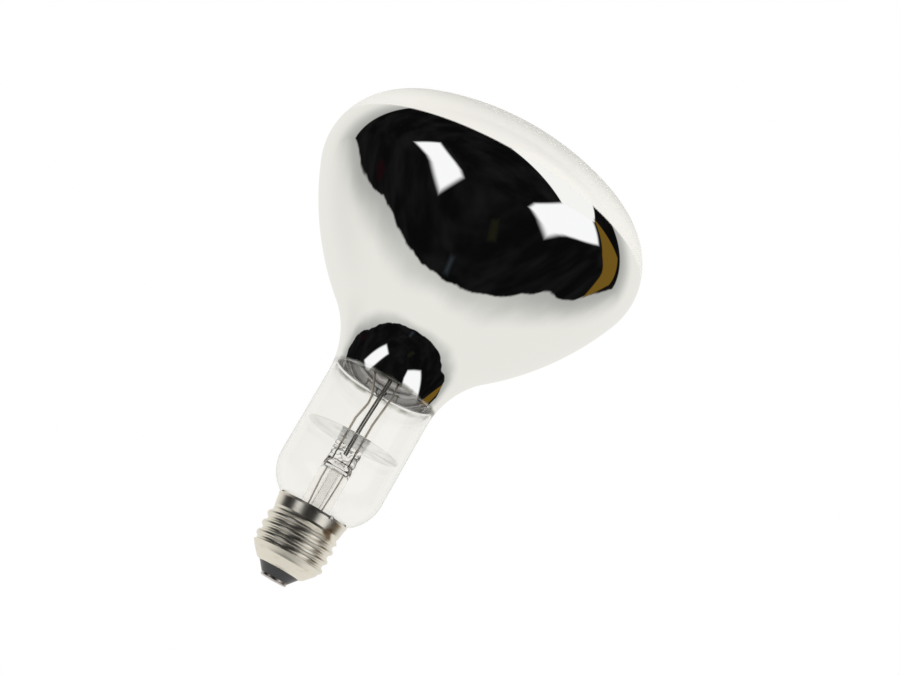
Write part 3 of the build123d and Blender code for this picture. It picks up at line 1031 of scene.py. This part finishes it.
@dataclass
class Cap:
    """The screw cap with its insulator, contact, solder and weld."""

    lump_merge: float = 0.001 * MM
    lump_cuts: int = 5
    lump_smoothing: int = 6
    lump_easing: float = 0.5
    lump_rise: float = 0.10 * MM
    lump_scale: float = 1400.0
    nickel: RolledNickel = RolledNickel()
    insulator: FrameFinish = FrameFinish("black_glass")
    cement: CastFace = CastFace("basing_cement", (0.62, 0.52, 0.38), (0.42, 0.34, 0.24), 0.0, 0.73)
    contact: SheetMetal = SheetMetal("contact_plate", (0.72, 0.66, 0.64), (0.40, 0.36, 0.34), 0.25)
    solder: CastFace = CastFace("tin_solder", (0.66, 0.65, 0.62), (0.42, 0.41, 0.38), 1.0, 0.24)

    def weld(self) -> bpy.types.Object:
        """Swell the weld's lump out of its plain block, never beyond it.

        Returns:
            The lump.
        """
        low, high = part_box("side_weld")
        shape = bmesh.new()
        shape.from_mesh(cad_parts["side_weld"].data)
        bmesh.ops.remove_doubles(shape, verts=shape.verts, dist=self.lump_merge)
        bmesh.ops.subdivide_edges(shape, edges=shape.edges, cuts=self.lump_cuts, use_grid_fill=True)
        bmesh.ops.triangulate(shape, faces=shape.faces)
        for _ in range(self.lump_smoothing):
            bmesh.ops.smooth_vert(shape, verts=shape.verts, factor=self.lump_easing,
                                  use_axis_x=True, use_axis_y=True, use_axis_z=True)
        shape.normal_update()
        for vertex in shape.verts:
            swell = noise.noise(vertex.co * self.lump_scale) * self.lump_rise
            moved = vertex.co + vertex.normal * swell
            vertex.co = [min(max(at, least), most) for at, least, most in zip(moved, low, high)]
        return smooth_piece("weld_lump", shape)

    def build(self) -> None:
        """Dress the cap's pieces and add the weld's lump."""
        dress("screw_shell", self.nickel)
        dress("cap_insulator", self.insulator)
        dress("basing_cement", self.cement)
        dress("centre_contact", self.contact)
        dress("contact_solder", self.solder)
        add_piece(self.weld(), self.solder, "side_weld")


@dataclass(frozen=True)
class Panel:
    """A flat light or board round the bulb, by the directions of its corners."""

    corners: tuple[Place, ...]
    colour: Colour
    soft: float = 0.02

    def mask(self, board: Board, direction: Signal) -> Signal:
        """1 for a direction that meets the panel, else 0.

        Args:
            board: The world's nodes.
            direction: The direction looked in.

        Returns:
            The mask.
        """
        inside = None
        for start, end in zip(self.corners, self.corners[1:] + self.corners[:1]):
            edge = Vector(start).cross(Vector(end)).normalized()
            side = board.measure("DOT_PRODUCT", direction, tuple(edge))
            inside = side if inside is None else inside.least(side)
        return inside.step(0.0, self.soft)


@dataclass
class Studio:
    """White surroundings with a dark opening on the camera's side, soft boxes, boards and a pale floor.

    Only mirrors show the opening, the boxes and the boards. Everything else is lit by plain daylight.
    """

    background: Colour = (1.0, 1.0, 1.0)
    daylight: Colour = (0.91, 0.905, 0.875)
    tent: Colour = (0.84, 0.83, 0.79)
    tent_left: Colour = (0.74, 0.735, 0.70)
    tent_edge: Colour = (0.42, 0.425, 0.41)
    edge_below: Colour = (0.57, 0.57, 0.55)
    room: Colour = (0.003, 0.003, 0.0033)
    room_haze: Colour = (0.0085, 0.0085, 0.0085)
    hem: Grain = Grain(4.0, 4.0)
    hem_reach: float = 0.14
    lower_rise: float = 0.385
    lower_slope: float = 0.9
    upper_rise: float = 0.36
    upper_slope: float = 0.5
    bulge: float = 0.11
    bulge_span: Span = (0.86, 0.94)
    notch: float = 0.05
    notch_span: Span = (0.60, 0.74)
    grey_reach: float = 0.22
    grey_widening: float = 0.24
    grey_span: Span = (-1.0, 0.06)
    flank_span: Span = (0.5, 0.88)
    left_span: Span = (0.55, 1.0)
    behind_span: Span = (0.0, 0.6)
    room_span: Span = (0.0, 0.03)
    smears: Grain = Grain(3.0, 2.0, (1.0, 2.2, 1.0), (0.35, 0.75))
    floor_height: float = -0.42
    floor_half: float = 9.0
    floor_colour: Colour = (0.93, 0.93, 0.92)
    floor_roughness: float = 0.9
    floor_fade: Span = (0.8, 2.0)
    lamp_place: Place = (0.3, -1.0, 1.1)
    lamp_size: float = 1.6
    lamp_power: float = 1.6
    panels: tuple[Panel, ...] = (
        Panel(((-0.96, 0.01, -0.28), (-0.91, -0.03, -0.41), (-0.90, -0.11, -0.42), (-0.92, -0.17, -0.36),
               (-0.96, -0.10, -0.28)), (0.011, 0.003, 0.004), 0.05),
        Panel(((0.07, -0.83, -0.56), (0.16, -0.71, -0.69), (0.29, -0.70, -0.65), (0.18, -0.84, -0.52)),
              (0.011, 0.011, 0.006), 0.05),
        Panel(((-0.12, -0.60, -0.79), (-0.09, -0.45, -0.89), (0.02, -0.45, -0.89),
               (-0.02, -0.60, -0.79)), (0.035, 0.045, 0.055), 0.09),
        Panel(((-0.90, -0.43, -0.09), (-0.50, -0.66, -0.56), (-0.34, -0.84, -0.43),
               (-0.71, -0.70, 0.11)), (0.98, 0.99, 1.0), 0.06),
        Panel(((-0.66, -0.75, 0.0), (-0.47, -0.84, -0.27), (-0.43, -0.85, -0.29), (-0.62, -0.78, 0.02)),
              (0.01, 0.01, 0.01), 0.01),
        Panel(((0.34, -0.87, -0.36), (0.50, -0.76, -0.42), (0.64, -0.62, -0.45), (0.97, -0.20, 0.11),
               (0.79, -0.36, 0.49), (0.60, -0.73, 0.33), (0.38, -0.91, -0.18)),
              (0.98, 0.99, 1.0), 0.06),
        Panel(((-0.09, -0.68, 0.73), (0.61, -0.75, 0.25), (0.85, -0.33, 0.42), (0.62, -0.20, 0.76),
               (0.10, -0.45, 0.89)), (0.95, 0.95, 0.94)),
        Panel(((0.79, -0.36, 0.49), (0.985, -0.12, 0.03), (0.94, 0.20, -0.29), (0.95, 0.30, -0.10),
               (0.95, 0.15, 0.28)), (0.16, 0.09, 0.012)),
    )

    def mirrored(self, board: Board, direction: Signal) -> Signal:
        """The surroundings as a mirror shows them.

        Args:
            board: The world's nodes.
            direction: The direction looked in.

        Returns:
            The colour there.
        """
        side, across, up = board.axes(direction)
        aside = abs(side)
        hem = (board.grain(self.hem, direction) - 0.5) * self.hem_reach
        flank = aside.step(*self.bulge_span) * self.bulge - aside.step(*self.notch_span) * self.notch
        lower = up * self.lower_slope + (flank + hem + self.lower_rise) - across
        inward = lower.least(self.upper_rise - up * self.upper_slope - across)
        spread = inward / (aside * self.grey_widening + self.grey_reach)
        near = board.blend(aside.step(*self.flank_span), self.edge_below, self.tent_edge)
        dimmed = (-side).step(*self.left_span) * across.step(*self.behind_span)
        colour = board.blend(dimmed, self.tent, self.tent_left)
        colour = board.blend(spread.step(*self.grey_span), colour, near)
        room = board.blend(board.grain(self.smears, direction), self.room, self.room_haze)
        colour = board.blend(inward.step(*self.room_span), colour, room)
        for panel in self.panels:
            colour = board.blend(panel.mask(board, direction), colour, panel.colour)
        return colour

    def world(self) -> None:
        """Make the world's light: a mirrored studio, plain daylight and a white background."""
        world = bpy.data.worlds.new("studio")
        bpy.context.scene.world = world
        world.use_nodes = True
        board = Board(world.node_tree)
        colour = self.mirrored(board, board.out("ShaderNodeTexCoord", "Generated"))
        rays = board.node("ShaderNodeLightPath")
        through = Signal(board, rays.outputs["Transmission Depth"]).above(0.5)
        mirrored = Signal(board, rays.outputs["Glossy Depth"]).above(0.5) * (1.0 - through)
        colour = board.blend(mirrored, self.daylight, colour)
        colour = board.blend(Signal(board, rays.outputs["Is Camera Ray"]), colour, self.background)
        glow = board.out("ShaderNodeBackground", 0, None, {"Color": colour, "Strength": 1.0})
        board.node("ShaderNodeOutputWorld", None, {"Surface": glow})

    def lamp(self) -> None:
        """Hang one weak soft lamp before the bulb, unseen in glass and metal."""
        data = bpy.data.lights.new("soft_lamp", "AREA")
        data.size = self.lamp_size
        data.energy = self.lamp_power
        lamp = bpy.data.objects.new("soft_lamp", data)
        lamp.location = self.lamp_place
        lamp.rotation_euler = (-Vector(self.lamp_place)).to_track_quat("-Z", "Y").to_euler()
        lamp.visible_glossy = False
        lamp.visible_transmission = False
        bpy.context.scene.collection.objects.link(lamp)

    def floor(self) -> None:
        """Lay the pale floor well below the bulb, white where it runs out to the horizon."""
        material = bpy.data.materials.new("pale_floor")
        material.use_nodes = True
        board = Board(material.node_tree)
        away = board.measure("LENGTH", board.place())
        white = board.out("ShaderNodeEmission", 0, None, {"Color": (*self.background, 1.0)})
        pale = board.shader(
            Base_Color=self.floor_colour, Roughness=self.floor_roughness, Specular_IOR_Level=0.0
        )
        board.finish(board.layered(away.step(*self.floor_fade), pale, white))
        half = self.floor_half
        corners = ((-half, -half), (half, -half), (half, half), (-half, half))
        shape = bmesh.new()
        shape.faces.new([shape.verts.new((x, y, self.floor_height)) for x, y in corners])
        mesh = bpy.data.meshes.new("floor")
        shape.to_mesh(mesh)
        shape.free()
        mesh.materials.append(material)
        floor = bpy.data.objects.new("floor", mesh)
        floor.visible_glossy = False
        floor.visible_transmission = False
        bpy.context.scene.collection.objects.link(floor)

    def build(self) -> None:
        """Make the surroundings."""
        self.world()
        self.lamp()
        self.floor()
        bpy.context.scene.view_settings.view_transform = "Standard"


@dataclass
class PhotoCamera:
    """The photo's view: from below the bulb's middle, rolled, the bulb left of the picture's centre."""

    distance: float = 494.0 * MM
    below: float = math.radians(13.34)
    roll: float = math.radians(29.93)
    focal_pixels: float = 1393.4
    picture: tuple[int, int] = (900, 675)
    sensor_width: float = 36.0
    near_clip: float = 10.0 * MM
    aim_height: float = 90.0 * MM
    aim_pixel: tuple[float, float] = (402.3, 355.6)

    def build(self) -> None:
        """Make the camera and set it as the scene's."""
        toward = Vector((0, math.cos(self.below), math.sin(self.below)))
        right = Vector((1, 0, 0))
        up = right.cross(toward)
        aside = self.aim_pixel[0] - self.picture[0] / 2
        raised = self.picture[1] / 2 - self.aim_pixel[1]
        turn_x = (math.cos(self.roll) * aside - math.sin(self.roll) * raised) / self.focal_pixels
        turn_y = (math.sin(self.roll) * aside + math.cos(self.roll) * raised) / self.focal_pixels
        ahead = Vector((-turn_x, -turn_y, 1)).normalized()
        level = Vector((0, 1, 0)).cross(ahead).normalized()
        head = ahead.cross(level)
        basis = [right * v.x + up * v.y + toward * v.z for v in (level, head, ahead)]
        camera_right = basis[0] * math.cos(self.roll) + basis[1] * math.sin(self.roll)
        camera_up = basis[1] * math.cos(self.roll) - basis[0] * math.sin(self.roll)
        data = bpy.data.cameras.new("photo_camera")
        data.sensor_width = self.sensor_width
        data.lens = self.focal_pixels * self.sensor_width / self.picture[0]
        data.clip_start = self.near_clip
        camera = bpy.data.objects.new("photo_camera", data)
        place = Vector((0, 0, self.aim_height)) - toward * self.distance
        turn = Matrix((camera_right, camera_up, -basis[2])).transposed()
        camera.matrix_world = Matrix.LocRotScale(place, turn, None)
        bpy.context.scene.collection.objects.link(camera)
        bpy.context.scene.camera = camera


def main() -> None:
    """Build the camera, the surroundings and the bulb's sub-assemblies in order."""
    logging.basicConfig(level=logging.INFO, format="%(name)s: %(message)s")
    for part in (PhotoCamera(), Studio(), Bulb(), Mount(), Cap()):
        part.build()
        log.info("%s is done", type(part).__name__)


if __name__ == "__main__":
    main()
